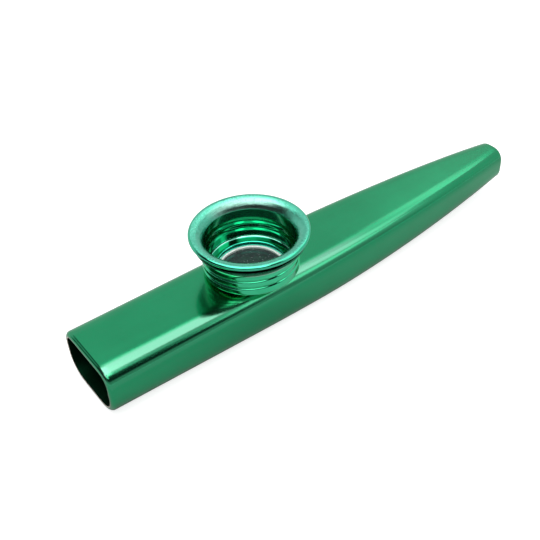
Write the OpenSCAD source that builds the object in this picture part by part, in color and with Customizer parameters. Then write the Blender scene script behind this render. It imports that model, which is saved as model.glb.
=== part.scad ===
// Metal kazoo: a tapered tube, a threaded neck on its top, a membrane on the neck's seat
// and a flared cap that screws down onto the membrane.
// X runs from the wide open end to the mouthpiece, Z is up, and the flat underside is at z = 0.
// The origin is below the middle of the tube.

/* [Tube] */
// Length of the tube
tube_length = 120; // [100:1:140]
// Width of the tube at the open end
tube_width = 19.6; // [19.2:0.1:24]
// Height of the tube at the open end
tube_height = 12.6; // [11.5:0.1:16]
// Width of the mouthpiece
mouth_width = 7.8; // [7:0.1:14]
// How far the underside rises to the mouthpiece
mouth_rise = 3.8; // [1:0.1:5]
// Thickness of the tube's wall
tube_wall = 1.2; // [0.8:0.05:1.4]
// Radius of the top corners at the open end
top_corner_r = 3.7; // [2.5:0.1:4.2]
// Radius of the bottom corners at the open end
bottom_corner_r = 5.6; // [3:0.1:6]
// Radius of the top corners at the mouthpiece
mouth_top_corner_r = 2.2; // [1.8:0.1:3]
// Radius of the bottom corners at the mouthpiece
mouth_bottom_corner_r = 3; // [1.8:0.1:3.2]
// Width of the bare cut edge round the open end
cut_edge = 0.2; // [0.1:0.05:0.6]
// Rounding of the mouthpiece's outer edge
mouth_edge_r = 0.4; // [0.2:0.05:0.7]
// Share of the length where the sides start to draw in
side_start_share = 0.3; // [0:0.05:0.6]
// Share of the length where the underside starts to rise
rise_start_share = 0.48; // [0.46:0.02:0.6]

/* [Neck] */
// Distance from the open end to the neck's axis
neck_place = 42; // [34:0.5:50]
// Outer radius of the neck's wall
neck_radius = 10.8; // [10.6:0.05:11.5]
// Rounding where the neck's wall turns in to its floor
neck_turn_r = 0.9; // [0.5:0.05:1.1]
// Thickness of the neck's wall
neck_wall = 0.42; // [0.36:0.02:0.6]
// Height of the neck above the tube, to the underside of its lip's edge
neck_height = 8; // [7.6:0.1:8.4]
// Outer radius of the neck's flared lip
neck_lip_r = 12.4; // [11.8:0.1:12.6]
// Height of the neck's flared lip
neck_lip_height = 2.3; // [1.8:0.1:2.6]
// Rise of the dished floor, from the shoulder to the wall
dish_rise = 0.9; // [0.7:0.05:1.2]
// Thickness of the dished floor, straight up
neck_floor = 0.45; // [0.4:0.05:0.6]
// Outer radius of the spigot in the tube's hole
spigot_radius = 8.5; // [8.2:0.05:8.7]
// Thickness of the spigot's wall
spigot_wall = 0.55; // [0.4:0.05:0.6]
// Width of the shoulder that rests on the tube
shoulder = 0.4; // [0.2:0.05:0.6]
// Depth of the membrane's seat below the tube's top
seat_depth = 0.6; // [0.5:0.05:0.9]
// Thickness of the seat
seat_floor = 0.5; // [0.4:0.05:0.8]
// Radius of the hole through the seat
seat_bore_r = 6.6; // [5.5:0.1:6.8]

/* [Thread] */
// Rise of the thread in one turn
thread_pitch = 1.85; // [1.6:0.05:2]
// Depth of the rolled grooves
thread_depth = 0.3; // [0.2:0.02:0.34]
// Radial play between the neck and the cap
thread_play = 0.08; // [0.06:0.01:0.12]

/* [Cap] */
// Radius of the flared rim
rim_radius = 13.3; // [12.6:0.1:14.5]
// Radius of the rim's rolled edge
rim_edge_r = 0.55; // [0.35:0.05:0.6]
// Height of the flare's foot above the tube
throat_height = 8.65; // [8.4:0.05:9]
// Height of the flare, from its foot to the rim
flare_height = 2.05; // [1.8:0.05:2.6]
// Width of the level band inside the rim's roll
rim_flat = 0.25; // [0.1:0.05:0.4]
// Thickness of the cap's wall
cap_wall = 0.44; // [0.36:0.02:0.6]
// Thickness of the cap's level floor where it meets the wall
cap_floor = 0.42; // [0.36:0.02:0.6]
// Width of the lip that presses on the membrane's ring
lip_width = 0.25; // [0.2:0.05:0.5]

/* [Membrane] */
// Thickness of the film
film_thickness = 0.08; // [0.05:0.01:0.12]
// Height of the film's ring
ring_height = 0.55; // [0.4:0.05:0.6]
// Width of the film's ring
ring_width = 0.7; // [0.6:0.05:1]

/* [Hidden] */
$fn = 96;

// Bow of the tapers: 1 is straight, 2 is an even curve
side_power = 2.1;
rise_power = 1.5;

// Steps of the meshed surfaces
corner_steps = 7;
edge_steps = 4;
length_steps = 30;
thread_sides = 60;
steps_per_pitch = 8;
flare_steps = 14;
lip_steps = 8;

// Fits and allowances
hole_fit = 0.02;
ring_fit = 0.1;
seat_gap = 0.02;
dish_gap = 0.08;
overrun = 1;
tongue = 0.25;
tongue_inset = 0.03;

// Stretches where the thread fades out and plain metal carries on
thread_fade = 0.8;
plain_foot = 0.1;

// Share of a turn by which the thread is set back
thread_shift_share = 0.29;

// How narrow the rolled grooves are, and how much higher the cap's end
neck_groove_power = 4;
cap_groove_power = 2;
cap_thread_rise = 1;

// Angle that the neck's lip has turned through at its edge
lip_turn = 60;

// Where the flare starts on its quarter of an ellipse, after a crisp bend at its foot
flare_start = 40;

open_edge_r = tube_wall - cut_edge;
neck_x = neck_place - tube_length / 2;
neck_bore = neck_radius - neck_wall;
cap_radius = neck_bore - thread_play;
cap_bore = cap_radius - cap_wall;
pilot_radius = cap_radius - thread_depth;
pilot_bore = cap_bore - thread_depth;
shoulder_radius = spigot_radius + shoulder;
spigot_bore = spigot_radius - spigot_wall;
dish_angle = atan(dish_rise / (neck_radius - shoulder_radius));
turn_x = neck_radius - neck_turn_r;
turn_z = dish_z(turn_x) + neck_turn_r / cos(dish_angle);

seat_z = tube_height - seat_depth;
film_z = seat_z + seat_gap;
ring_z = film_z + film_thickness;
ring_radius = spigot_bore - ring_fit;
lip_z = ring_z + ring_height + seat_gap;
lip_bore = ring_radius - lip_width;

neck_wall_z = max(turn_z, neck_floor_z(neck_bore)) + plain_foot;
cap_floor_z = cap_dish_z(pilot_bore) + cap_floor;
cap_wall_z = cap_floor_z + plain_foot;
thread_top_z = tube_height + neck_height - neck_lip_height;
cap_thread_top_z = thread_top_z + cap_thread_rise;
flare_z = tube_height + throat_height;
rim_z = flare_z + flare_height;
rim_ring_r = rim_radius - rim_edge_r;

// Heights of the dish at radius r: the neck's underside, the neck's floor and the cap's underside
function dish_z(r) = tube_height + (r - shoulder_radius) * tan(dish_angle);
function neck_floor_z(r) = dish_z(r) + neck_floor;
function cap_dish_z(r) = neck_floor_z(r) + dish_gap;

function blend(a, b, share) = a + (b - a) * share;

// 0 at the height start, 1 at the height full, and in between on the way
function ramp(z, start, full) = min(1, max(0, (z - start) / (full - start)));

// Points of an arc about [x, y]
function arc(x, y, r, start, end, steps) =
    [for (k = [0:steps]) let (a = blend(start, end, k / steps)) [x + r * cos(a), y + r * sin(a)]];

// Faces of a surface that closes on itself both ways, ring after ring
function loop_faces(rings, sides) =
    [for (i = [0:rings - 1], j = [0:sides - 1])
        let (here = i * sides, next = ((i + 1) % rings) * sides, k = (j + 1) % sides)
        each [[here + j, next + j, next + k], [here + j, next + k, here + k]]];

module looped(rings)
    polyhedron([for (ring = rings) each ring], loop_faces(len(rings), len(rings[0])));

// How far a taper has gone: 0 up to its start share of the length, 1 at the mouthpiece
function taper(share, start_share, power) =
    pow(max(0, (share - start_share) / (1 - start_share)), power);

// The tube's section at a share of its length, drawn in all round by inset
function section(share, inset) =
    let (side = blend(tube_width, mouth_width, taper(share, side_start_share, side_power)) / 2 - inset,
         top = tube_height - inset,
         under = mouth_rise * taper(share, rise_start_share, rise_power) + inset,
         rt = blend(top_corner_r, mouth_top_corner_r, share) - inset,
         rb = blend(bottom_corner_r, mouth_bottom_corner_r, share) - inset)
    [for (p = concat(arc(side - rt, top - rt, rt, 0, 90, corner_steps),
                     arc(rt - side, top - rt, rt, 90, 180, corner_steps),
                     arc(rb - side, under + rb, rb, 180, 270, corner_steps),
                     arc(side - rb, under + rb, rb, 270, 360, corner_steps)))
        [tube_length * (share - 1 / 2), p[0], p[1]]];

// The tube's outer skin from end to end and its inner skin back
module tube_shell() {
    open_share = open_edge_r / tube_length;
    mouth_share = mouth_edge_r / tube_length;
    shares = [for (i = [0:length_steps]) blend(open_share, 1 - mouth_share, i / length_steps)];
    turns = [for (k = [1:edge_steps]) 90 * k / edge_steps];
    looped(concat(
        [for (k = [edge_steps - 1:-1:0])
            section(open_share * (1 - sin(turns[k])), open_edge_r * (1 - cos(turns[k])))],
        [for (share = shares) section(share, 0)],
        [for (a = turns) section(1 - mouth_share * (1 - sin(a)), mouth_edge_r * (1 - cos(a)))],
        [section(1, tube_wall)],
        [for (i = [length_steps:-1:0]) section(shares[i], tube_wall)],
        [section(0, tube_wall)]));
}

// How strongly the sheet is rolled in at an angle and a height: 1 in the middle of a groove
function groove(a, z, top_z, power) =
    pow(cos(180 * (z / thread_pitch - a / 360 + thread_shift_share)), power)
    * ramp(z, top_z, top_z - thread_fade);

neck_depth = function (a, z) thread_depth
    * groove(a, z, thread_top_z, neck_groove_power) * ramp(z, neck_wall_z, neck_wall_z + thread_fade);

// The cap's foot is as narrow as its grooves, so that it passes the neck's thread
cap_depth = function (a, z) thread_depth
    * blend(1, groove(a, z, cap_thread_top_z, cap_groove_power),
            ramp(z, cap_wall_z, cap_wall_z + thread_fade));

function wall_ring(z, r, depth) =
    [for (j = [0:thread_sides - 1])
        let (a = 360 * j / thread_sides, rolled = r - depth(a, z)) [rolled * cos(a), rolled * sin(a), z]];

// A rolled sheet wall from low to high. Its ends run on as slim tongues inside plain metal
module rolled_wall(low, high, bore, radius, depth) {
    steps = ceil((high - low) / thread_pitch * steps_per_pitch);
    ends = [[low - tongue, tongue_inset], [low, tongue_inset]];
    middle = [for (i = [0:steps]) [blend(low + tongue_inset, high - tongue_inset, i / steps), 0]];
    rows = concat(ends, middle, [[high, tongue_inset], [high + tongue, tongue_inset]]);
    looped(concat(
        [for (row = rows) wall_ring(row[0], radius - row[1], depth)],
        [for (i = [len(rows) - 1:-1:0]) wall_ring(rows[i][0], bore + rows[i][1], depth)]));
}

module turned(points)
    rotate_extrude() polygon(points);

module at_neck()
    translate([neck_x, 0, 0]) children();

module tube() {
    color("mediumseagreen") difference() {
        tube_shell();
        at_neck() translate([0, 0, tube_height / 2])
            cylinder(r = spigot_radius + hole_fit, h = tube_height / 2 + overrun);
    }
}

// Points of the neck's flared lip, from its foot to its edge, on the side of the sheet that inset gives
function neck_lip(inset) =
    [for (k = [0:lip_steps])
        let (a = lip_turn * k / lip_steps,
             out = (neck_lip_r - neck_radius) / (1 - cos(lip_turn)), rise = neck_lip_height / sin(lip_turn),
             slope = [out * sin(a), rise * cos(a)] / norm([out * sin(a), rise * cos(a)]))
        [neck_radius + out * (1 - cos(a)) - inset * slope[1],
         thread_top_z + rise * sin(a) + inset * slope[0]]];

module threaded_neck() {
    inner_lip = neck_lip(neck_wall);
    color("seagreen") at_neck() {
        turned(concat(
            [[seat_bore_r, seat_z - seat_floor], [spigot_radius, seat_z - seat_floor],
             [spigot_radius, tube_height], [shoulder_radius, tube_height]],
            arc(turn_x, turn_z, neck_turn_r, dish_angle - 90, 0, edge_steps),
            [[neck_radius, neck_wall_z], [neck_bore, neck_wall_z],
             [neck_bore, neck_floor_z(neck_bore)], [spigot_bore, neck_floor_z(spigot_bore)],
             [spigot_bore, seat_z], [seat_bore_r, seat_z]]));
        rolled_wall(neck_wall_z, thread_top_z, neck_bore, neck_radius, neck_depth);
        turned(concat(neck_lip(0), [for (i = [lip_steps:-1:0]) inner_lip[i]]));
    }
}

module membrane_film() {
    color("slategray") at_neck() translate([0, 0, film_z])
        cylinder(r = ring_radius, h = film_thickness);
}

module membrane_ring() {
    color("white") at_neck() translate([0, 0, ring_z]) difference() {
        cylinder(r = ring_radius, h = ring_height);
        translate([0, 0, -overrun])
            cylinder(r = ring_radius - ring_width, h = ring_height + 2 * overrun);
    }
}

// Points of the flare's skin, from its foot out to where it is level
function flare(foot_r, foot_z, end_r, end_z) =
    [for (k = [0:flare_steps]) let (a = blend(flare_start, 90, k / flare_steps))
        [blend(end_r, foot_r, cos(a) / cos(flare_start)),
         blend(end_z, foot_z, (1 - sin(a)) / (1 - sin(flare_start)))]];

module screw_cap() {
    under = flare(cap_radius, flare_z - rim_edge_r, rim_ring_r, rim_z - 2 * rim_edge_r);
    color("limegreen") at_neck() {
        turned([[lip_bore, lip_z], [ring_radius, lip_z], [ring_radius, cap_dish_z(ring_radius)],
                [pilot_radius, cap_dish_z(pilot_radius)], [pilot_radius, cap_wall_z],
                [pilot_bore, cap_wall_z], [pilot_bore, cap_floor_z], [lip_bore, cap_floor_z]]);
        rolled_wall(cap_wall_z, cap_thread_top_z, cap_bore, cap_radius, cap_depth);
        turned(concat(
            [[cap_bore, cap_thread_top_z]], flare(cap_bore, flare_z, rim_ring_r - rim_flat, rim_z),
            arc(rim_ring_r, rim_z - rim_edge_r, rim_edge_r, 90, -90, 2 * edge_steps),
            [for (i = [flare_steps - 1:-1:0]) under[i]], [[cap_radius, cap_thread_top_z]]));
    }
}

tube();
threaded_neck();
membrane_film();
membrane_ring();
screw_cap();
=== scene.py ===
import math

import bpy
import numpy as np
from mathutils import Matrix, Vector


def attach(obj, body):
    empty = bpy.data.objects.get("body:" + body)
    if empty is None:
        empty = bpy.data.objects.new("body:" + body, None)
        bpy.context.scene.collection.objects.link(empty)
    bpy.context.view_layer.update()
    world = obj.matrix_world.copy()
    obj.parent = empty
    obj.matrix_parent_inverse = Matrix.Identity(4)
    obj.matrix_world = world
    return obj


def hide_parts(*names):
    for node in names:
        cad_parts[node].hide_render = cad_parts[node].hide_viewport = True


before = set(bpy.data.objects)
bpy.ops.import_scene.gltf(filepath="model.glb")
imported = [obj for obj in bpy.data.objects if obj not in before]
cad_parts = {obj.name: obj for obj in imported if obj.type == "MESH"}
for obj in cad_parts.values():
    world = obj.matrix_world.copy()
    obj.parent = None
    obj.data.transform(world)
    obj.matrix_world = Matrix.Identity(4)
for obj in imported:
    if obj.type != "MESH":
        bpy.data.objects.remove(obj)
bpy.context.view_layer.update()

MM = 0.001

# Sizes in millimetres, as in part.scad
LENGTH, WIDTH, HEIGHT = 120.0, 19.6, 12.6
MOUTH_WIDTH, MOUTH_RISE = 7.8, 3.8
WALL = 1.2
TOP_R, MOUTH_TOP_R = 3.7, 2.2
BOTTOM_R, MOUTH_BOTTOM_R = 5.6, 3.0
OPEN_EDGE_R, MOUTH_EDGE_R = 1.0, 0.4
SIDE_START, SIDE_POWER = 0.3, 2.1     # the share of the length at which the sides start to curve in
RISE_START, RISE_POWER = 0.48, 1.5    # the share at which the underside starts to rise

NECK_X = -18.0
NECK_R, NECK_BORE, NECK_TURN_R, NECK_WALL = 10.8, 10.38, 0.9, 0.42
SPIGOT_R, SPIGOT_BORE, SHOULDER_R, HOLE_R = 8.5, 7.95, 8.9, 8.52
SEAT_Z, SEAT_UNDER_Z, SEAT_BORE = 12.0, 11.5, 6.6
DISH_RISE, DISH_WIDTH = 0.9, 1.9
DISH_SLOPE = DISH_RISE / DISH_WIDTH
DISH_ANGLE = math.atan(DISH_SLOPE)
NECK_WALL_Z, THREAD_TOP_Z = 14.17, 18.3
NECK_LIP_R, NECK_LIP_HEIGHT, NECK_LIP_TURN = 12.4, 2.3, math.radians(60)
NECK_FLOOR, DISH_GAP = 0.45, 0.08
PITCH, DEPTH, FADE = 1.85, 0.3, 0.8
SHIFT = 0.29                          # how far down the grooves are shifted, in pitches

CAP_R, CAP_BORE, PILOT_R = 10.30, 9.86, 10.0
CAP_WALL_Z, CAP_THREAD_TOP_Z, RIM_Z = 13.963, 19.3, 23.3
THROAT_Z, UNDER_Z = 21.25, 20.8       # where the sheet starts to turn out, on its inside and its outside
RIM_R, RIM_EDGE_R = 13.3, 0.55
RIM_RING_R = RIM_R - RIM_EDGE_R
LIP_Z, LIP_BORE, LIP_R = 12.67, 7.6, 7.85
RING_Z, RING_R, RING_BORE, RING_H = 12.10, 7.85, 7.15, 0.55
FILM_Z, FILM_H = 12.02, 0.08

# Finer forms of the tube, in millimetres too, which the solids don't have
CORNER_POWER = 2.5      # 2 is a plain arc; above it the corner eases into the flats
CORNER_STRETCH = 1.25   # keeps such a corner where the plain arc has it
END_ROUND = 0.85        # how much rounder the top corners get at the mouthpiece's very end
END_POWER = 12          # keeps that to the last part of the length
LEAST_FLAT = 0.3        # half the flat that the lower corners leave on the underside, at the least
LEAST_SIDE = 0.1        # the height that the corners leave on the side, at the least
CUT_EDGE = 0.12         # how far the bare cuts are eased into the bore
CUTTER_Z = (HEIGHT / 2, HEIGHT + 2)   # the ends of the bar that cuts the hole for the neck

# Finer forms of the neck and the cap
NECK_POWER, CAP_POWER = 10, 2         # how narrow the rolled grooves are
INNER_SHIFT = 0.15                    # as SHIFT, for the ridges inside the cap, which lie a little higher
UPPER_FLANK = 0.4                     # share of the pitch above a ridge; the rest is its long lower flank
RIDGE_EASE = 0.3                      # how far the ridges' straight flanks are eased into waves
LAST_RIDGE = 10                       # the crest that the ridges end with, counted up from the table
THREAD_END, RUN_OUT = -0.347, 0.08    # where they run out on the near side, and how gently, in turns
FOOT_INSET = 0.12                     # how much narrower the wall's inside is below its ridges
FOOT_EASE_Z = (16.2, 17.4)            # heights between which it gets wider
FLOOR_Z = 13.78                       # the upper face of the cap's floor
FLOOR_FILLET, FLOOR_ROUND = 0.4, 0.25   # where the floor meets the wall, and at its edge over the lip
WALL_FOOT = 0.45                      # from the floor up to the wall's lowest row
WALL_HEAD = 0.05                      # from the wall's top row up to the throat
CAP_LIP_SIDE, CAP_LIP_ROUND = 0.30, 0.06   # the lip's straight side, and the rounding of its lower edge
PILOT_INSET, PILOT_EDGE, PILOT_RISE = 0.12, 0.03, 0.02   # the small slope below the cap's wall
THROAT_TURN, THROAT_TURN_R = math.radians(28), 0.35
FLARE_END_R = 12.55                   # the flare is flat from here to the rim's roll
SHEET_ROUND, SPIGOT_ROUND = 0.08, 0.1
FLOOR_BEVEL, BEVEL_DROP = 0.15, 0.1   # at the neck's floor, where it drops to the seat
SEAT_BEVEL = 0.06

# Finer forms of the membrane
RING_ROUND, RING_FOOT_ROUND = 0.16, 0.04
FILM_WAVES = ((3, 0.7, 2, 0.012), (5, 2, 3, 0.01))   # slack: waves round, start, growth outward, height
FILM_SAG = 0.02
SLACK_FADE = 1.5                      # the slack fades out over this width inside the ring
ROW_POWER = 0.9                       # below 1 it brings the film's rows closer together at the edge

# Numbers of steps, rows and sides in the meshes
CORNER_STEPS, FLAT_STEPS, SIDE_STEPS, EDGE_STEPS = 14, 10, 4, 8
TUBE_ROWS, NECK_ROWS, CAP_ROWS, CAP_INNER_ROWS, FILM_ROWS = 110, 100, 64, 130, 44
SIDES, RING_SIDES, FILM_SIDES, HOLE_SIDES = 288, 160, 120, 120
ROUND_STEPS, TURN_STEPS, LIP_STEPS, TIP_STEPS = 4, 10, 22, 3
BEND_STEPS, UNDER_STEPS, FLARE_STEPS, ROLL_STEPS = 5, 28, 40, 18
FLOOR_STEPS, RING_STEPS = 8, 5
SHARP = math.radians(38)              # edges sharper than this aren't smoothed


# Mesh helpers
def shade(mesh):
    mesh.shade_smooth()
    mesh.set_sharp_from_angle(angle=SHARP)


def new_piece(name, points, faces, body, replaced, origin=(0, 0, 0)):
    mesh = bpy.data.meshes.new(name)
    mesh.from_pydata((np.asarray(points) * MM).tolist(), [], faces)
    mesh.update()
    shade(mesh)
    obj = bpy.data.objects.new(name, mesh)
    bpy.context.scene.collection.objects.link(obj)
    obj.location = Vector(origin) * MM
    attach(obj, body)
    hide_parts(*replaced)
    return obj


def looped(rings):
    """Points and quads of a surface that closes on itself both ways."""
    rings = np.asarray(rings, float)
    rows, sides = rings.shape[:2]
    here = np.arange(rows)[:, None] * sides
    following = ((np.arange(rows) + 1) % rows)[:, None] * sides
    j = np.arange(sides)[None, :]
    k = (j + 1) % sides
    quads = np.stack([here + j, following + j, following + k, here + k], axis=-1).reshape(-1, 4)
    return rings.reshape(-1, 3), quads.tolist()


def arc(x, y, r, start, end, steps):
    turns = np.radians(np.linspace(start, end, steps + 1))
    return [(x + r * math.cos(t), y + r * math.sin(t)) for t in turns]


def ramp(value, start, full):
    return np.clip((value - start) / (full - start), 0, 1)


def wave(share):
    """Eases a share from 0 to 1 at both its ends."""
    return share * share * (3 - 2 * share)


# The tube
def taper(share, start, power):
    return max(0.0, (share - start) / (1 - start)) ** power


def corner(reach):
    """A corner from its side end to its top end, as offsets from the sharp corner that it cuts off."""
    points = []
    for t in np.radians(np.linspace(0, 90, CORNER_STEPS + 1)):
        c = math.cos(t) ** (1 / (CORNER_POWER - 1))
        s = math.sin(t) ** (1 / (CORNER_POWER - 1))
        scale = (c ** CORNER_POWER + s ** CORNER_POWER) ** (-1 / CORNER_POWER)
        points.append((reach - reach * c * scale, reach - reach * s * scale))
    return points


def half_section(share):
    """The outline from the middle of the top round the far side to the middle of the underside."""
    side = (WIDTH + (MOUTH_WIDTH - WIDTH) * taper(share, SIDE_START, SIDE_POWER)) / 2
    under = MOUTH_RISE * taper(share, RISE_START, RISE_POWER)
    top_r = TOP_R + (MOUTH_TOP_R - TOP_R) * share + END_ROUND * share ** END_POWER
    low_r = BOTTOM_R + (MOUTH_BOTTOM_R - BOTTOM_R) * share
    top_reach = top_r * CORNER_STRETCH
    side_left = HEIGHT - under - top_reach - LEAST_SIDE
    low_reach = min(low_r * CORNER_STRETCH, side - LEAST_FLAT, side_left)
    top = [(side - dy, HEIGHT - dz) for dy, dz in corner(top_reach)]
    low = [(side - dy, under + dz) for dy, dz in corner(low_reach)]
    top_flat, low_flat = top[-1][0], low[-1][0]
    start_z, end_z = top[0][1], low[0][1]
    outline = [(top_flat * k / FLAT_STEPS, HEIGHT) for k in range(FLAT_STEPS)]
    outline += top[::-1]
    outline += [(side, start_z + (end_z - start_z) * k / SIDE_STEPS) for k in range(1, SIDE_STEPS)]
    outline += low
    outline += [(low_flat * (1 - k / FLAT_STEPS), under) for k in range(1, FLAT_STEPS + 1)]
    return np.array(outline)


def section(share, inset):
    """The tube's section, from the middle of its top round by the near side, drawn in by inset."""
    outline = half_section(share)
    if inset:
        along = np.gradient(outline, axis=0)
        outward = np.stack([-along[:, 1], along[:, 0]], axis=-1)
        outward /= np.linalg.norm(outward, axis=1)[:, None]
        outward[0], outward[-1] = (0, 1), (0, -1)
        outline = outline - inset * outward
        outline[0, 0] = outline[-1, 0] = 0
    around = np.concatenate([outline * (-1, 1), outline[::-1][1:-1]])
    return np.column_stack([np.full(len(around), LENGTH * (share - 0.5)), around])


def tube_rings():
    """Rings from the open end over the skin to the mouthpiece and back inside, and what each one is."""
    open_share, mouth_share = OPEN_EDGE_R / LENGTH, MOUTH_EDGE_R / LENGTH
    turns = np.radians(np.linspace(0, 90, EDGE_STEPS + 1))
    body = np.linspace(open_share, 1 - mouth_share, TUBE_ROWS)
    rows = [("skin", open_share * (1 - math.sin(t)), OPEN_EDGE_R * (1 - math.cos(t))) for t in turns[:0:-1]]
    rows += [("skin", share, 0) for share in body]
    for t in turns[1:-1]:
        rows.append(("skin", 1 - mouth_share * (1 - math.sin(t)), MOUTH_EDGE_R * (1 - math.cos(t))))
    rows += [("cut", 1, MOUTH_EDGE_R), ("inside", 1, WALL - CUT_EDGE)]
    rows += [("inside", share, WALL) for share in body[::-1]]
    rows += [("cut", CUT_EDGE / 2 / LENGTH, WALL)]
    return [section(share, inset) for kind, share, inset in rows], [kind for kind, share, inset in rows]


def hole_cutter(material):
    """A round bar that cuts the hole for the neck."""
    turns = np.arange(HOLE_SIDES) * 2 * np.pi / HOLE_SIDES
    x, y = NECK_X + HOLE_R * np.cos(turns), HOLE_R * np.sin(turns)
    points = np.concatenate([np.column_stack([x, y, np.full(HOLE_SIDES, z)]) for z in CUTTER_Z])
    low, high = range(HOLE_SIDES), range(HOLE_SIDES, 2 * HOLE_SIDES)
    following = [(i + 1) % HOLE_SIDES for i in low]
    faces = [(i, k, HOLE_SIDES + k, HOLE_SIDES + i) for i, k in zip(low, following)]
    faces += [tuple(low)[::-1], tuple(high)]
    mesh = bpy.data.meshes.new("hole_cutter")
    mesh.from_pydata((points * MM).tolist(), [], faces)
    mesh.materials.append(material)
    cutter = bpy.data.objects.new("hole_cutter", mesh)
    bpy.context.scene.collection.objects.link(cutter)
    return cutter


def bore(tube, cutter):
    cut = tube.modifiers.new("hole", "BOOLEAN")
    cut.operation, cut.solver, cut.object = "DIFFERENCE", "EXACT", cutter
    graph = bpy.context.evaluated_depsgraph_get()
    mesh = bpy.data.meshes.new_from_object(tube.evaluated_get(graph))
    tube.modifiers.clear()
    tube.data = mesh
    bpy.data.objects.remove(cutter)
    shade(mesh)


def make_tube(skin, cut, inside):
    rings, kinds = tube_rings()
    points, faces = looped(rings)
    obj = new_piece("tube_shell", points, faces, "body", ["tube"])
    for material in (skin, cut, inside):
        obj.data.materials.append(material)
    order = [("skin", "cut", "inside").index(kind) for kind in kinds]
    obj.data.polygons.foreach_set("material_index", np.repeat(order, len(rings[0])).tolist())
    bore(obj, hole_cutter(inside))


# The neck and the cap
def dish_z(r):
    return HEIGHT + (r - SHOULDER_R) * DISH_SLOPE


def neck_floor_z(r):
    return dish_z(r) + NECK_FLOOR


def cap_dish_z(r):
    return neck_floor_z(r) + DISH_GAP


def groove(angle, z, power):
    """How strongly the sheet is rolled in: 1 in the middle of a groove. Angle in turns."""
    return np.abs(np.cos(np.pi * (z / PITCH - angle + SHIFT))) ** power


def neck_depth(angle, z):
    share = groove(angle, z, NECK_POWER) * ramp(z, THREAD_TOP_Z, THREAD_TOP_Z - FADE)
    return DEPTH * share * ramp(z, NECK_WALL_Z, NECK_WALL_Z + FADE)


def cap_depth(angle, z):
    share = groove(angle, z, CAP_POWER) * ramp(z, CAP_THREAD_TOP_Z, CAP_THREAD_TOP_Z - FADE)
    return DEPTH * (1 + (share - 1) * wave(ramp(z, CAP_WALL_Z, CAP_WALL_Z + FADE)))


def cap_inner_depth(angle, z):
    """Inside, two ridges with long lower flanks wind round the wall."""
    phase = (z / PITCH - angle + INNER_SHIFT) % 1
    lower_flank = (phase - UPPER_FLANK) / (1 - UPPER_FLANK)
    ridge = np.where(phase < UPPER_FLANK, 1 - phase / UPPER_FLANK, lower_flank)
    ridge = (1 - RIDGE_EASE) * ridge + RIDGE_EASE * wave(ridge)
    turn = (angle - THREAD_END) % 1 + THREAD_END
    last = PITCH * (LAST_RIDGE + turn - INNER_SHIFT)
    low, high = (
        np.where((z > crest - (2 - UPPER_FLANK) * PITCH) & (z < crest + UPPER_FLANK * PITCH), ridge, 0)
        for crest in (last, last + PITCH))
    run_out = ramp(turn, THREAD_END, THREAD_END + RUN_OUT)
    return FOOT_INSET * (1 - wave(ramp(z, *FOOT_EASE_Z))) + DEPTH * (high + (low - high) * run_out)


def wall(r, low, high, rows, depth):
    """Rows of a rolled wall, which the depth function draws in."""
    return [(r, z, depth) for z in np.linspace(low, high, rows)]


def plain(points):
    """Rows that stay round."""
    return [(r, z, None) for r, z in points]


def spun(profile, sides=SIDES):
    """Points and outward faces of a closed profile spun round the axis."""
    turn = np.arange(sides) / sides
    r = np.array([r - depth(turn, z) if depth else np.full(sides, r) for r, z, depth in profile])
    z = np.array([np.full(sides, z) for r, z, depth in profile])
    a = 2 * np.pi * turn
    points, faces = looped(np.stack([r * np.cos(a), r * np.sin(a), z], axis=-1))
    return points, [face[::-1] for face in faces]


def rounded(points, radii, steps=ROUND_STEPS):
    """Points of a closed profile with its corners rounded by their own radius."""
    out = []
    for i, r in enumerate(radii):
        if not r:
            out.append(points[i])
            continue
        tip, before, after = (np.array(points[k % len(points)]) for k in (i, i - 1, i + 1))
        back, ahead = before - tip, after - tip
        back, ahead = back / np.linalg.norm(back), ahead / np.linalg.norm(ahead)
        half = math.acos(np.clip(back @ ahead, -1, 1)) / 2
        middle = tip + (back + ahead) / np.linalg.norm(back + ahead) * (r / math.sin(half))
        start, end = (tip + way * r / math.tan(half) - middle for way in (back, ahead))
        start, end = math.atan2(start[1], start[0]), math.atan2(end[1], end[0])
        turn = (end - start + math.pi) % (2 * math.pi) - math.pi
        out += arc(*middle, r, math.degrees(start), math.degrees(start + turn), steps)
    return out


def neck_lip(inset):
    """The neck's flared lip, from its foot to its edge, on the side of the sheet that inset gives."""
    out = (NECK_LIP_R - NECK_R) / (1 - math.cos(NECK_LIP_TURN))
    rise = NECK_LIP_HEIGHT / math.sin(NECK_LIP_TURN)
    points = []
    for t in np.linspace(0, NECK_LIP_TURN, LIP_STEPS + 1):
        dr, dz = out * math.sin(t), rise * math.cos(t)
        scale = inset / math.hypot(dr, dz)
        points.append((NECK_R + out * (1 - math.cos(t)) - dz * scale,
                       THREAD_TOP_Z + rise * math.sin(t) + dr * scale))
    return points


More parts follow.
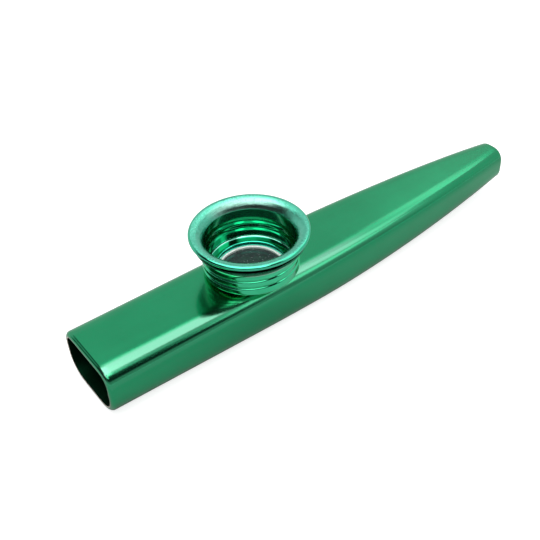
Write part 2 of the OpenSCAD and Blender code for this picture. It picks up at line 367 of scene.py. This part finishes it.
def make_neck(material, edge_material):
    foot = [(SEAT_BORE, SEAT_UNDER_Z), (SPIGOT_R, SEAT_UNDER_Z), (SPIGOT_R, HEIGHT), (SHOULDER_R, HEIGHT)]
    turn_r = NECK_R - NECK_TURN_R
    turn_z = dish_z(turn_r) + NECK_TURN_R / math.cos(DISH_ANGLE)
    profile = plain(rounded(foot, [SHEET_ROUND, SPIGOT_ROUND, 0, SPIGOT_ROUND]))
    profile += plain(arc(turn_r, turn_z, NECK_TURN_R, math.degrees(DISH_ANGLE) - 90, 0, TURN_STEPS))
    profile += wall(NECK_R, NECK_WALL_Z, THREAD_TOP_Z, NECK_ROWS, neck_depth)
    outer, inner = neck_lip(0), neck_lip(NECK_WALL)
    tip = [outer[-2], outer[-1], inner[-1], inner[-2]]
    profile += plain(outer[1:-1])
    edge_row = len(profile) + TIP_STEPS
    profile += plain(rounded(tip, [0, SHEET_ROUND, SHEET_ROUND, 0], TIP_STEPS)[1:-1])
    profile += plain(inner[::-1][1:-1])
    profile += wall(NECK_BORE, THREAD_TOP_Z, NECK_WALL_Z, NECK_ROWS, neck_depth)
    bevel_r = SPIGOT_BORE + FLOOR_BEVEL
    profile += plain([(NECK_BORE, neck_floor_z(NECK_BORE)), (bevel_r, neck_floor_z(bevel_r)),
                      (SPIGOT_BORE, neck_floor_z(SPIGOT_BORE) - BEVEL_DROP), (SPIGOT_BORE, SEAT_Z),
                      (SEAT_BORE + SEAT_BEVEL, SEAT_Z), (SEAT_BORE, SEAT_Z - SEAT_BEVEL)])
    points, faces = spun(profile)
    obj = new_piece("neck_collar", points, faces, "body", ["threaded_neck"], (NECK_X, 0, 0))
    obj.data.materials.append(material)
    obj.data.materials.append(edge_material)
    on_edge = [int(i // SIDES == edge_row) for i in range(len(faces))]
    obj.data.polygons.foreach_set("material_index", on_edge)


def flare(foot_r, foot_z, end_r, end_z, steps):
    """A short bend at the foot, then an even curve that ends level."""
    points = [(foot_r + THROAT_TURN_R * (1 - math.cos(t)), foot_z + THROAT_TURN_R * math.sin(t))
              for t in np.linspace(0, THROAT_TURN, BEND_STEPS + 1)]
    out, rise = end_r - points[-1][0], end_z - points[-1][1]
    share = math.tan(THROAT_TURN) * rise / out
    start = math.asin(share / (1 - share))
    for t in np.linspace(start, math.pi / 2, steps + 1)[1:]:
        points.append((end_r - out * math.cos(t) / math.cos(start),
                       end_z - rise * (1 - math.sin(t)) / (1 - math.sin(start))))
    return points


def cap_outside():
    """The profile from the lip on the ring over the underside and the wall to the rim's roll."""
    lip = [(LIP_BORE, LIP_Z + CAP_LIP_SIDE), (LIP_BORE, LIP_Z), (LIP_R, LIP_Z), (LIP_R, cap_dish_z(LIP_R))]
    inset_r = PILOT_R - PILOT_INSET
    profile = plain(rounded(lip, [0, CAP_LIP_ROUND, 0, 0]))
    profile += plain([(inset_r, cap_dish_z(inset_r)),
                      (PILOT_R - PILOT_EDGE, cap_dish_z(PILOT_R) + PILOT_RISE)])
    profile += wall(CAP_R, CAP_WALL_Z, CAP_THREAD_TOP_Z, CAP_ROWS, cap_depth)
    profile += plain(flare(CAP_R, UNDER_Z, RIM_RING_R, RIM_Z - 2 * RIM_EDGE_R, UNDER_STEPS)[:-1])
    return profile + plain(arc(RIM_RING_R, RIM_Z - RIM_EDGE_R, RIM_EDGE_R, -90, 90, ROLL_STEPS))


def cap_inside():
    """The profile from the rim down the flare and the wall, and over the floor to the lip."""
    foot_r, foot_z = CAP_BORE - FOOT_INSET, FLOOR_Z + WALL_FOOT
    floor = [(foot_r, foot_z), (foot_r, FLOOR_Z), (LIP_BORE, FLOOR_Z), (LIP_BORE, LIP_Z + CAP_LIP_SIDE)]
    profile = plain(flare(CAP_BORE, THROAT_Z, FLARE_END_R, RIM_Z, FLARE_STEPS)[::-1])
    profile += wall(CAP_BORE, THROAT_Z - WALL_HEAD, foot_z, CAP_INNER_ROWS, cap_inner_depth)
    return profile + plain(rounded(floor, [0, FLOOR_FILLET, FLOOR_ROUND, 0], FLOOR_STEPS)[1:-1])


def make_cap(material):
    points, faces = spun(cap_outside() + cap_inside())
    obj = new_piece("cap_bell", points, faces, "cap", ["screw_cap"], (NECK_X, 0, 0))
    obj.data.materials.append(material)


# The membrane
def make_ring(material):
    top_z = RING_Z + RING_H
    corners = [(RING_BORE, RING_Z), (RING_R, RING_Z), (RING_R, top_z), (RING_BORE, top_z)]
    radii = [RING_FOOT_ROUND, RING_FOOT_ROUND, RING_ROUND, RING_ROUND]
    points, faces = spun(plain(rounded(corners, radii, RING_STEPS)), RING_SIDES)
    obj = new_piece("film_ring", points, faces, "membrane", ["membrane_ring"], (NECK_X, 0, 0))
    obj.data.materials.append(material)


def disc(middle):
    """Faces of the film's rings round the point middle, seen from above."""
    faces = []
    for j in range(FILM_SIDES):
        k = (j + 1) % FILM_SIDES
        faces.append([middle, middle + 1 + j, middle + 1 + k])
        for i in range(FILM_ROWS - 1):
            here = middle + 1 + i * FILM_SIDES
            following = here + FILM_SIDES
            faces.append([here + j, following + j, following + k, here + k])
    return faces


def make_film(material):
    """A thin disc with the faint slack of a stretched film."""
    radii = RING_R * np.linspace(0, 1, FILM_ROWS + 1)[1:] ** ROW_POWER
    turns = 2 * np.pi * np.arange(FILM_SIDES) / FILM_SIDES
    r, a = np.meshgrid(radii, turns, indexing="ij")
    slack = sum(height * np.sin(waves * a + start) * (r / RING_R) ** growth
                for waves, start, growth, height in FILM_WAVES)
    slack *= ramp(r, RING_BORE, RING_BORE - SLACK_FADE)
    slack -= FILM_SAG * (1 - np.clip(r / RING_BORE, 0, 1) ** 2)
    points = []
    for side_z in (FILM_Z + FILM_H, FILM_Z):
        z = side_z + slack
        points.append((0, 0, float(z[0].mean())))
        points += np.column_stack([(r * np.cos(a)).ravel(), (r * np.sin(a)).ravel(), z.ravel()]).tolist()
    low = len(points) // 2
    rim = low - FILM_SIDES
    faces = disc(0) + [face[::-1] for face in disc(low)]
    for j in range(FILM_SIDES):
        k = (j + 1) % FILM_SIDES
        faces.append([rim + j, low + rim + j, low + rim + k, rim + k])
    obj = new_piece("film_disc", points, faces, "membrane", ["membrane_film"], (NECK_X, 0, 0))
    obj.data.materials.append(material)


# Builders for node trees
class Nodes:
    """A small builder for one node tree."""

    def __init__(self, tree):
        self.tree = tree

    def add(self, kind, **values):
        node = self.tree.nodes.new(kind)
        for key, value in values.items():
            setattr(node, key, value)
        return node

    def put(self, value, socket):
        if isinstance(value, bpy.types.NodeSocket):
            self.tree.links.new(value, socket)
        else:
            socket.default_value = value

    def maths(self, operation, *values):
        node = self.add("ShaderNodeMath", operation=operation)
        for socket, value in zip(node.inputs, values):
            self.put(value, socket)
        return node.outputs[0]

    def total(self, a, b):
        return self.maths("ADD", a, b)

    def less(self, a, b):
        return self.maths("SUBTRACT", a, b)

    def product(self, a, b):
        return self.maths("MULTIPLY", a, b)

    def length(self, x, y):
        return self.maths("SQRT", self.total(self.product(x, x), self.product(y, y)))

    def span(self, value, low, high, new_low=0.0, new_high=1.0, kind="LINEAR"):
        node = self.add("ShaderNodeMapRange", interpolation_type=kind)
        keys = ("Value", "From Min", "From Max", "To Min", "To Max")
        for key, v in zip(keys, (value, low, high, new_low, new_high)):
            self.put(v, node.inputs[key])
        return node.outputs["Result"]

    def step(self, value, low, high, new_low=0.0, new_high=1.0):
        """As span, with an even curve in between."""
        return self.span(value, low, high, new_low, new_high, "SMOOTHSTEP")

    def separate(self, vector):
        node = self.add("ShaderNodeSeparateXYZ")
        self.put(vector, node.inputs[0])
        return node.outputs

    def combine(self, x, y, z):
        node = self.add("ShaderNodeCombineXYZ")
        for socket, v in zip(node.inputs, (x, y, z)):
            self.put(v, socket)
        return node.outputs[0]


class Surface(Nodes):
    """The nodes of one material, with its main shader."""

    def __init__(self, name):
        self.material = bpy.data.materials.new(name)
        self.material.use_nodes = True
        super().__init__(self.material.node_tree)
        self.shader = self.tree.nodes["Principled BSDF"]
        places = self.add("ShaderNodeTexCoord").outputs
        self.coords, self.normal = places["Object"], places["Normal"]

    def scaled(self, x, y, z):
        node = self.add("ShaderNodeMapping")
        self.put(self.coords, node.inputs["Vector"])
        node.inputs["Scale"].default_value = (x, y, z)
        return node.outputs["Vector"]

    def noise(self, vector, scale=1.0, detail=3.0, rough=0.5):
        node = self.add("ShaderNodeTexNoise")
        self.put(vector, node.inputs["Vector"])
        node.inputs["Scale"].default_value = scale
        node.inputs["Detail"].default_value = detail
        node.inputs["Roughness"].default_value = rough
        return node.outputs["Fac"]

    def mix(self, share, a, b):
        node = self.add("ShaderNodeMix", data_type="RGBA")
        self.put(share, node.inputs["Factor"])
        self.put(a, node.inputs[6])
        self.put(b, node.inputs[7])
        return node.outputs[2]

    def bump(self, height, distance, strength=1.0, under=None):
        node = self.add("ShaderNodeBump")
        self.put(height, node.inputs["Height"])
        node.inputs["Distance"].default_value = distance
        self.put(strength, node.inputs["Strength"])
        if under is not None:
            self.put(under, node.inputs["Normal"])
        return node.outputs["Normal"]

    def facing(self, low, high):
        """1 where the surface faces the viewer, 0 where it is seen at a slant."""
        node = self.add("ShaderNodeLayerWeight")
        node.inputs["Blend"].default_value = 0.5
        return self.step(self.less(1.0, node.outputs["Facing"]), low, high)

    def set(self, **values):
        for key, value in values.items():
            self.put(value, self.shader.inputs[key.replace("_", " ")])


# Colours of the materials
TUBE_DARK, TUBE_LIGHT = (0.008, 0.34, 0.140, 1), (0.011, 0.38, 0.160, 1)
TUBE_FACING_HIGHLIGHT = (0.035, 0.385, 0.18, 1)      # painted highlight: a paler green on faces turned to the viewer
TUBE_CORNER_HIGHLIGHT = (0.12, 0.385, 0.25, 1)     # painted highlight on the tube's upper corners
# painted shade: the inside of the tube is given a far darker green than the outside
INSIDE_SHADE_DARK, INSIDE_SHADE_LIGHT = (0.003, 0.035, 0.015, 1), (0.004, 0.05, 0.02, 1)
CUT_DARK, CUT_LIGHT = (0.78, 0.66, 0.56, 1), (0.95, 0.86, 0.78, 1)
NECK_DARK, NECK_LIGHT = (0.05, 0.68, 0.33, 1), (0.06, 0.74, 0.37, 1)
EDGE_DARK, EDGE_LIGHT = (0.01, 0.14, 0.07, 1), (0.02, 0.2, 0.1, 1)
# painted shade on the neck's lip, and a painted highlight line where the lip starts
LIP_SHADE_GREEN, HIGHLIGHT_LINE_GREEN = (0.01, 0.16, 0.08, 1), (0.45, 0.85, 0.68, 1)
CAP_DARK, CAP_LIGHT = (0.05, 0.58, 0.34, 1), (0.06, 0.64, 0.38, 1)
FLARE_DARK, FLARE_LIGHT = (0.07, 0.50, 0.33, 1), (0.15, 0.66, 0.49, 1)
# painted highlight: a paler colour where the flare faces the viewer
FLARE_FACING_HIGHLIGHT = (0.26, 0.54, 0.44, 1)
# painted shade for the wall inside the cap
WALL_SHADE_GREEN = (0.008, 0.34, 0.15, 1)
# painted light on the floor inside the cap, and a painted highlight on its fillet
CAP_FLOOR_PAINTED_LIGHT, FILLET_HIGHLIGHT_GREEN = (0.04, 0.74, 0.50, 1), (0.40, 0.78, 0.66, 1)
RING_DARK, RING_LIGHT = (0.92, 0.90, 0.90, 1), (0.98, 0.97, 0.97, 1)
FILM_DARK, FILM_LIGHT, DUST = (0.035, 0.055, 0.055, 1), (0.06, 0.08, 0.08, 1), (0.45, 0.5, 0.5, 1)

# Places in millimetres between which one finish turns into another
MOUTH_FADE = (-2.0, 13.0)                            # along the tube, where the painted highlight on its corners weakens
FLARE_FOOT = (THROAT_Z, THROAT_Z + 0.3)
FLARE_EDGE = (12.75, 12.95)                          # from the axis
WALL_FADE = (THROAT_Z - 0.2, THROAT_Z + 0.1)         # the top of the wall inside the cap, below which the wall is painted with shade
DULL_FADE = (THREAD_TOP_Z - 0.4, THREAD_TOP_Z + 0.3)   # the wall is duller above this
FLOOR_FADE = (FLOOR_Z + 0.4, FLOOR_Z + 0.6)
FLOOR_CORNER = (FLOOR_Z + 0.01, FLOOR_Z + 0.08)      # the fillet between the floor and the wall, which gets a painted highlight
LIP_LINE_Z = 18.95                                   # where the neck's sheet turns out into its lip
LIP_FADE = (LIP_LINE_Z - 0.05, LIP_LINE_Z + 0.25)
# a painted highlight: a wavy bright line along the bend where the lip starts
HIGHLIGHT_LINE_Z, HIGHLIGHT_LINE_WAVE = LIP_LINE_Z + 0.12, 0.25
HIGHLIGHT_LINE_HALF = (0.06, 0.14)                        # from the line's middle to where it has faded out


def metres(places):
    return [place * MM for place in places]


def satin_green(name, dark, light, rough):
    """Blasted and anodised aluminium, with fine grain and faint drawing marks along the tube."""
    m = Surface(name)
    cloud = m.noise(m.coords, 90)
    drawn = m.noise(m.scaled(40, 2600, 2600), detail=4, rough=0.6)
    grain = m.noise(m.coords, 9000, detail=2, rough=0.6)
    tone = m.total(m.product(cloud, 0.6), m.product(drawn, 0.4))
    uneven = m.total(m.product(grain, 0.8), m.product(drawn, 0.2))
    m.set(Metallic=1.0, Roughness=m.span(uneven, 0.3, 0.7, rough - 0.04, rough + 0.05),
          Normal=m.bump(grain, 0.00002, 0.3, m.bump(drawn, 0.00001, 0.04)))
    return m, m.mix(m.span(tone, 0.35, 0.65), dark, light)


def tube_skin():
    """The tube's outside, with a clear layer, a painted highlight on faces turned to the viewer and a
    painted highlight on its upper corners.
    """
    m, color = satin_green("tube_green", TUBE_DARK, TUBE_LIGHT, 0.14)
    # painted highlight: faces turned to the viewer get a paler green
    color = m.mix(m.facing(0.72, 0.79), color, TUBE_FACING_HIGHLIGHT)
    # painted highlight on the upper corners, weaker towards the mouthpiece and where a corner is seen at a
    # slant
    turn = m.maths("ABSOLUTE", m.separate(m.normal)[1])
    on_corner = m.product(m.step(turn, 0.04, 0.13), m.step(turn, 0.42, 0.60, 1.0, 0.0))
    toward_mouth = m.step(m.separate(m.coords)[0], *metres(MOUTH_FADE), 1.0, 0.15)
    sheen = m.product(toward_mouth, m.facing(0.55, 0.75))
    color = m.mix(m.product(on_corner, sheen), color, TUBE_CORNER_HIGHLIGHT)
    m.set(Base_Color=color, Coat_Weight=0.45, Coat_Roughness=0.07, Coat_IOR=1.5)
    return m.material


def tube_inside():
    m, color = satin_green("inner_shaded_green", INSIDE_SHADE_DARK, INSIDE_SHADE_LIGHT, 0.42)
    # painted shade: a near-black green for the shade inside the bore
    m.set(Base_Color=color)
    return m.material


def polished_green(name, dark, light, rough):
    """Spun and polished sheet with anodised colour, fine lathe marks and hairlines."""
    m = Surface(name)
    x, y, z = m.separate(m.coords)
    lathe = m.combine(0.0, m.product(m.length(x, y), 9000.0), m.product(z, 9000.0))
    normal = m.bump(m.noise(lathe, rough=0.6), 0.00001, 0.03)
    roughness = m.span(m.noise(m.coords, 3200, rough=0.7), 0.35, 0.75, rough, rough + 0.06)
    color = m.mix(m.span(m.noise(m.coords, 220), 0.35, 0.65), dark, light)
    m.set(Metallic=1.0, Coat_Weight=0.4, Coat_Roughness=0.05, Coat_IOR=1.5)
    return m, color, roughness, normal


def neck_sheet(name, dark, light, rough):
    """The neck's sheet, with painted shade on the lip under the cap's flare and a bright painted highlight
    line where the lip starts.
    """
    m, color, roughness, normal = polished_green(name, dark, light, rough)
    z = m.separate(m.coords)[2]
    # painted shade on the lip, which lies under the cap's flare
    color = m.mix(m.step(z, *metres(LIP_FADE)), color, LIP_SHADE_GREEN)
    # painted highlight: a bright wavy line along the bend into the lip
    line = m.maths("MULTIPLY_ADD", m.noise(m.coords, 1500, rough=0.7), HIGHLIGHT_LINE_WAVE * MM, z)
    away = m.maths("ABSOLUTE", m.less(line, HIGHLIGHT_LINE_Z * MM))
    color = m.mix(m.span(away, *metres(HIGHLIGHT_LINE_HALF), 0.85, 0.0), color, HIGHLIGHT_LINE_GREEN)
    m.set(Base_Color=color, Roughness=roughness, Normal=normal)
    return m.material


def cap_sheet():
    """The cap's sheet: a flare with radial brush marks and a painted highlight where it faces the viewer, a
    smooth wall with painted shade inside, and a floor inside with painted light and a painted highlight
    along its fillet.
    """
    m, color, roughness, normal = polished_green("cap_green", CAP_DARK, CAP_LIGHT, 0.06)
    x, y, z = m.separate(m.coords)
    angle, radius = m.maths("ARCTAN2", y, x), m.length(x, y)
    around = [m.product(m.maths(kind, angle), 80.0) for kind in ("COSINE", "SINE")]
    brushed = m.noise(m.combine(*around, m.product(radius, 1500.0)), detail=2, rough=0.6)
    patch = m.noise(m.scaled(120, 120, 60), detail=2)
    on_flare = m.product(m.step(z, *metres(FLARE_FOOT)), m.span(radius, *metres(FLARE_EDGE), 1.0, 0.0))
    on_wall = m.step(z, *metres(WALL_FADE), 1.0, 0.0)
    on_floor = m.step(z, *metres(FLOOR_FADE), 1.0, 0.0)

    normal = m.bump(brushed, 0.00010, m.product(on_flare, m.span(patch, 0.35, 0.65, 0.4, 1.0)), normal)
    roughness = m.total(roughness, m.product(on_flare, m.span(brushed, 0.4, 0.7, 0.0, 0.04)))
    roughness = m.total(roughness, m.product(on_wall, m.step(z, *metres(DULL_FADE), 0.0, 0.10)))

    streaks = m.mix(m.product(on_flare, m.span(brushed, 0.38, 0.68)), FLARE_DARK, FLARE_LIGHT)
    color = m.mix(on_flare, color, streaks)
    # painted shade on the wall inside the cap
    color = m.mix(on_wall, color, WALL_SHADE_GREEN)
    # painted highlight: the flare gets paler where it faces the viewer
    color = m.mix(m.product(on_flare, m.facing(0.70, 0.95)), color, FLARE_FACING_HIGHLIGHT)
    # painted light: the floor inside the cap is given a brighter green
    color = m.mix(on_floor, color, CAP_FLOOR_PAINTED_LIGHT)
    # painted highlight along the fillet between the floor and the wall
    color = m.mix(m.product(on_floor, m.span(z, *metres(FLOOR_CORNER))), color, FILLET_HIGHLIGHT_GREEN)
    m.set(Base_Color=color, Roughness=roughness, Normal=normal)
    return m.material


def bare_cut():
    m = Surface("bare_aluminium")
    grain = m.noise(m.coords, 6000, rough=0.7)
    m.set(Base_Color=m.mix(m.span(grain, 0.3, 0.7), CUT_DARK, CUT_LIGHT), Metallic=1.0,
          Roughness=m.span(grain, 0.3, 0.7, 0.25, 0.45), Normal=m.bump(grain, 0.00004, 0.4))
    return m.material


def white_plastic():
    m = Surface("ring_white")
    grain = m.noise(m.coords, 7000, detail=2)
    m.set(Base_Color=m.mix(m.noise(m.coords, 700), RING_DARK, RING_LIGHT), IOR=2.0,
          Roughness=m.span(grain, 0.3, 0.7, 0.12, 0.22), Normal=m.bump(grain, 0.00002, 0.2))
    return m.material


def smoky_film():
    """A dark translucent film with faint creases and a little dust."""
    m = Surface("film_smoky")
    cloud = m.noise(m.coords, 260, detail=4, rough=0.6)
    dust = m.span(m.noise(m.coords, 2600, detail=2), 0.67, 0.73)
    crease = m.noise(m.scaled(260, 900, 300), detail=2)
    m.set(Base_Color=m.mix(dust, m.mix(cloud, FILM_DARK, FILM_LIGHT), DUST), IOR=1.45,
          Roughness=m.span(cloud, 0.3, 0.7, 0.08, 0.2), Transmission_Weight=0.35,
          Normal=m.bump(crease, 0.00006, 0.25))
    return m.material


# Stage, lights and camera, in metres
FLOOR_SIZE = 4.0
FLOOR_TONE = 0.50          # the floor's own colour
FLOOR_CAMERA = 0.80        # what lifts it to white for the camera
FLOOR_FAR = (0.10, 0.45)   # the distances from its middle between which reflections of it get brighter
FLOOR_LIFT = 0.35          # by how much they do
TENT = 0.72                # the white tent round the object
BOX_HEIGHT = 0.5

# Parts of the tent with a tone of their own: the middle's azimuth, the half width, the softness of the
# side edges, and the heights between which the lower and the upper edge fade, all in degrees; the tone
TENT_PARTS = (
    (175, 44, 6, (-6, -3), (46, 54), 0.056),    # its dim left side
    (-100, 55, 10, (-6, -3), (18, 30), 0.42),   # its near side, below the opening
    (124, 24, 5, (34, 38), (52, 58), 0.048),    # a gap in it behind the object, on the left
    (-79, 17, 4, (14, 20), (50, 55), 0.024),    # its open front, where the camera stands: the right half
    (-120, 26, 4, (14, 20), (38, 43), 0.024),   # the left half of it
    (-135, 45, 6, (42, 46), (62, 70), 2.1),     # its roof over the opening
)

# The softboxes over the object: span along x, span along y, level
SOFTBOXES = {
    "softbox_left": ((-0.27, 0.05), (-0.14, 0.30), 2.4),
    "softbox_near": ((-0.08, 0.05), (-0.30, -0.14), 2.8),
    "softbox_top": ((0.05, 0.27), (-0.12, 0.37), 1.4),
    "softbox_right": ((0.27, 0.43), (-0.20, 0.06), 1.1),
    "softbox_far": ((0.27, 0.43), (0.06, 0.37), 0.6),
    "softbox_side": ((0.22, 0.50), (-0.60, -0.24), 1.1),
    "strip_far": ((0.08, 0.27), (0.27, 0.35), 1.7),
    "strip_middle": ((0.08, 0.27), (0.02, 0.09), 1.7),
    "softbox_end": ((0.43, 0.58), (0.02, 0.44), 1.2),
}

# The camera, fitted to the photo
AZIMUTH, ELEVATION, ROLL = (math.radians(a) for a in (-35.043, 40.121, -2.912))
DISTANCE = 0.185725                   # to the middle of the cap's rim
PICTURE, FOCAL = 540.0, 864.87        # the picture's width and the focal length, in pixels
RIM_PIXEL = (249.06, 228.65)          # where the picture shows the middle of the rim
SENSOR = 36.0                         # in millimetres, as the lens
CLIP = (0.005, 20)


def sine(degrees):
    return math.sin(math.radians(degrees))


def cosine(degrees):
    return math.cos(math.radians(degrees))


def make_floor():
    corners = [(x * FLOOR_SIZE, y * FLOOR_SIZE, 0) for x, y in ((-1, -1), (1, -1), (1, 1), (-1, 1))]
    mesh = bpy.data.meshes.new("floor")
    mesh.from_pydata(corners, [], [(0, 1, 2, 3)])
    obj = bpy.data.objects.new("floor", mesh)
    bpy.context.scene.collection.objects.link(obj)
    mesh.materials.append(floor_paper())


def floor_paper():
    """Pale paper that the camera sees as white. Its reflections get brighter with the distance."""
    material = bpy.data.materials.new("floor_paper")
    material.use_nodes = True
    material.node_tree.nodes.clear()
    n = Nodes(material.node_tree)
    ray = n.add("ShaderNodeLightPath").outputs
    away = n.add("ShaderNodeVectorMath", operation="LENGTH")
    n.put(n.add("ShaderNodeTexCoord").outputs["Object"], away.inputs[0])
    far = n.span(away.outputs["Value"], *FLOOR_FAR, 0.0, FLOOR_LIFT)
    reflected = n.product(n.maths("MAXIMUM", ray["Is Glossy Ray"], ray["Is Transmission Ray"]), far)
    paper, lift = n.add("ShaderNodeBsdfDiffuse"), n.add("ShaderNodeEmission")
    paper.inputs["Color"].default_value = (FLOOR_TONE, FLOOR_TONE, FLOOR_TONE, 1)
    n.put(n.maths("MULTIPLY_ADD", ray["Is Camera Ray"], FLOOR_CAMERA, reflected), lift.inputs["Strength"])
    both, out = n.add("ShaderNodeAddShader"), n.add("ShaderNodeOutputMaterial")
    n.put(paper.outputs[0], both.inputs[0])
    n.put(lift.outputs[0], both.inputs[1])
    n.put(both.outputs[0], out.inputs["Surface"])
    return material


def make_world():
    """The tent. The camera sees it as white."""
    world = bpy.data.worlds.new("tent")
    bpy.context.scene.world = world
    world.use_nodes = True
    world.node_tree.nodes.clear()
    n = Nodes(world.node_tree)
    x, y, z = n.separate(n.add("ShaderNodeTexCoord").outputs["Generated"])
    level = n.maths("MAXIMUM", n.length(x, y), 0.001)
    tone = TENT
    for azimuth, half, soft, low, top, part_tone in TENT_PARTS:
        toward = n.total(n.product(x, cosine(azimuth)), n.product(y, sine(azimuth)))
        wide = n.step(n.maths("DIVIDE", toward, level), cosine(half + soft), cosine(half - soft))
        above = n.step(z, sine(low[0]), sine(low[1]))
        below = n.step(z, sine(top[1]), sine(top[0]))
        part = n.product(wide, n.product(above, below))
        tone = n.total(n.product(tone, n.less(1.0, part)), n.product(part, part_tone))
    seen = n.add("ShaderNodeLightPath").outputs["Is Camera Ray"]
    back, out = n.add("ShaderNodeBackground"), n.add("ShaderNodeOutputWorld")
    back.inputs["Color"].default_value = (1, 1, 1, 1)
    n.put(n.total(n.product(seen, n.less(1.0, tone)), tone), back.inputs["Strength"])
    n.put(back.outputs[0], out.inputs["Surface"])


def softbox(name, span_x, span_y, level):
    data = bpy.data.lights.new(name, "AREA")
    data.shape, data.size, data.size_y = "RECTANGLE", span_x[1] - span_x[0], span_y[1] - span_y[0]
    data.energy = level * math.pi * data.size * data.size_y
    obj = bpy.data.objects.new(name, data)
    bpy.context.scene.collection.objects.link(obj)
    obj.location = (sum(span_x) / 2, sum(span_y) / 2, BOX_HEIGHT)


def make_camera():
    level = math.cos(ELEVATION)
    back = Vector((math.sin(AZIMUTH) * level, -math.cos(AZIMUTH) * level, math.sin(ELEVATION)))
    right = Vector((0, 0, 1)).cross(back).normalized()
    up = back.cross(right)
    c, s = math.cos(ROLL), math.sin(ROLL)
    right, up = c * right + s * up, c * up - s * right
    across, over = (RIM_PIXEL[0] - PICTURE / 2) / FOCAL, (PICTURE / 2 - RIM_PIXEL[1]) / FOCAL
    rim = Vector((NECK_X, 0, RIM_Z)) * MM
    place = rim + DISTANCE * (back - across * right - over * up)
    data = bpy.data.cameras.new("camera")
    data.sensor_width, data.lens = SENSOR, FOCAL * SENSOR / PICTURE
    data.clip_start, data.clip_end = CLIP
    obj = bpy.data.objects.new("camera", data)
    bpy.context.scene.collection.objects.link(obj)
    obj.matrix_world = Matrix.Translation(place) @ Matrix((right, up, back)).transposed().to_4x4()
    bpy.context.scene.camera = obj


# The build
tube_green, inner_shaded_green = tube_skin(), tube_inside()
cap_green = cap_sheet()
neck_green = neck_sheet("neck_green", NECK_DARK, NECK_LIGHT, 0.06)
edge_green = neck_sheet("edge_green", EDGE_DARK, EDGE_LIGHT, 0.25)
cut_bare = bare_cut()

make_tube(tube_green, cut_bare, inner_shaded_green)
make_neck(neck_green, edge_green)
make_cap(cap_green)
make_ring(white_plastic())
make_film(smoky_film())

make_floor()
make_world()
for name, (span_x, span_y, level) in SOFTBOXES.items():
    softbox(name, span_x, span_y, level)
make_camera()

scene = bpy.context.scene
scene.view_settings.view_transform = "Standard"
